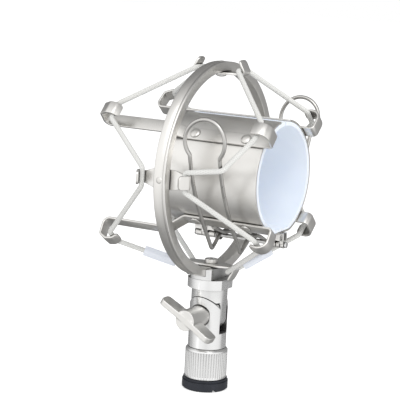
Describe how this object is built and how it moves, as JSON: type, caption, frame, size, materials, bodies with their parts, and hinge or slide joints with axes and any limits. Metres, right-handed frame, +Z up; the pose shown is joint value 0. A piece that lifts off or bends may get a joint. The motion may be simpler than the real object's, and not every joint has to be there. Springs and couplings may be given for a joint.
{
  "type": "microphone shock mount",
  "caption": "Elastic suspension mount for a large microphone: a sprung split sleeve hung on cords inside a ring, on a tilting stand swivel.",
  "frame": {"origin": "centre of the stand socket's bottom face, on the stand axis", "axes": "+Z up the stand axis, sleeve axis along Y with its mouth at -Y, tilt pivot along X with the wing screw at -X"},
  "size_m": [0.1032, 0.087, 0.1563],
  "materials": {
    "satin_nickel": "satin nickel plate",
    "satin_chrome": "satin chrome plate",
    "wire": "satin nickel plate",
    "spring_steel": "dark steel",
    "adapter_plastic": "moulded, slightly glossy",
    "liner": "soft matt",
    "cord": "braided",
    "tag": "folded film, blank"
  },
  "bodies": {
    "stand_nut": {"thread_adapter": "adapter_plastic", "knurled_nut": "satin_chrome"},
    "swivel": {"swivel_base": "satin_chrome", "nut_retaining_ring": "spring_steel", "swivel_washers": "spring_steel"},
    "clamp_screw": {"wing_screw": "satin_nickel"},
    "ring_head": {"swivel_head": "satin_chrome", "outer_ring": "satin_nickel", "ring_screw": "satin_nickel", "ring_rivets": "satin_nickel", "bracket_top": "satin_nickel", "bracket_left": "satin_nickel", "bracket_right": "satin_nickel", "bracket_bottom": "satin_nickel", "cord_front": "cord", "cord_rear": "cord", "cord_tag_front": "tag", "cord_tag_rear": "tag"},
    "cradle": {"hinge_pin": "satin_chrome", "torsion_spring": "spring_steel"},
    "sleeve_left": {"shell_left": "satin_nickel", "liner_left": "liner", "arm_upper_left": "satin_nickel", "arm_lower_left": "satin_nickel", "arm_rivets_left": "satin_nickel", "handle_right": "wire"},
    "sleeve_right": {"shell_right": "satin_nickel", "liner_right": "liner", "arm_upper_right": "satin_nickel", "arm_lower_right": "satin_nickel", "arm_rivets_right": "satin_nickel", "handle_left": "wire"}
  },
  "joints": [
    {"name": "turn_on_stand", "type": "hinge", "parent": "stand_nut", "child": "swivel", "pos_m": [0, 0, 0.02], "axis": [0, 0, 1], "continuous": true},
    {"name": "wing_turn", "type": "hinge", "parent": "swivel", "child": "clamp_screw", "pos_m": [0, 0, 0.0362], "axis": [1, 0, 0], "continuous": true},
    {"name": "tilt", "type": "hinge", "parent": "swivel", "child": "ring_head", "pos_m": [0, 0, 0.0362], "axis": [1, 0, 0], "range_deg": [-50, 50]},
    {"name": "float", "type": "slide", "parent": "ring_head", "child": "cradle", "axis": [0, 0, 1], "range_m": [-0.003, 0.003], "stiffness_N_per_m": 1500, "deforming": ["cord_front", "cord_rear", "cord_tag_front", "cord_tag_rear"]},
    {"name": "right_half_open", "type": "hinge", "parent": "cradle", "child": "sleeve_right", "pos_m": [0.00151, 0, 0.07384], "axis": [0, 1, 0], "range_deg": [0, 3.5], "stiffness_Nm_per_rad": 4},
    {"name": "left_half_open", "type": "hinge", "parent": "cradle", "child": "sleeve_left", "pos_m": [0.00151, 0, 0.07384], "axis": [0, 1, 0], "range_deg": [-3.5, 0], "stiffness_Nm_per_rad": 4}
  ],
  "couplings": [
    {"joint": "left_half_open", "follows": "right_half_open", "ratio": -1}
  ]
}
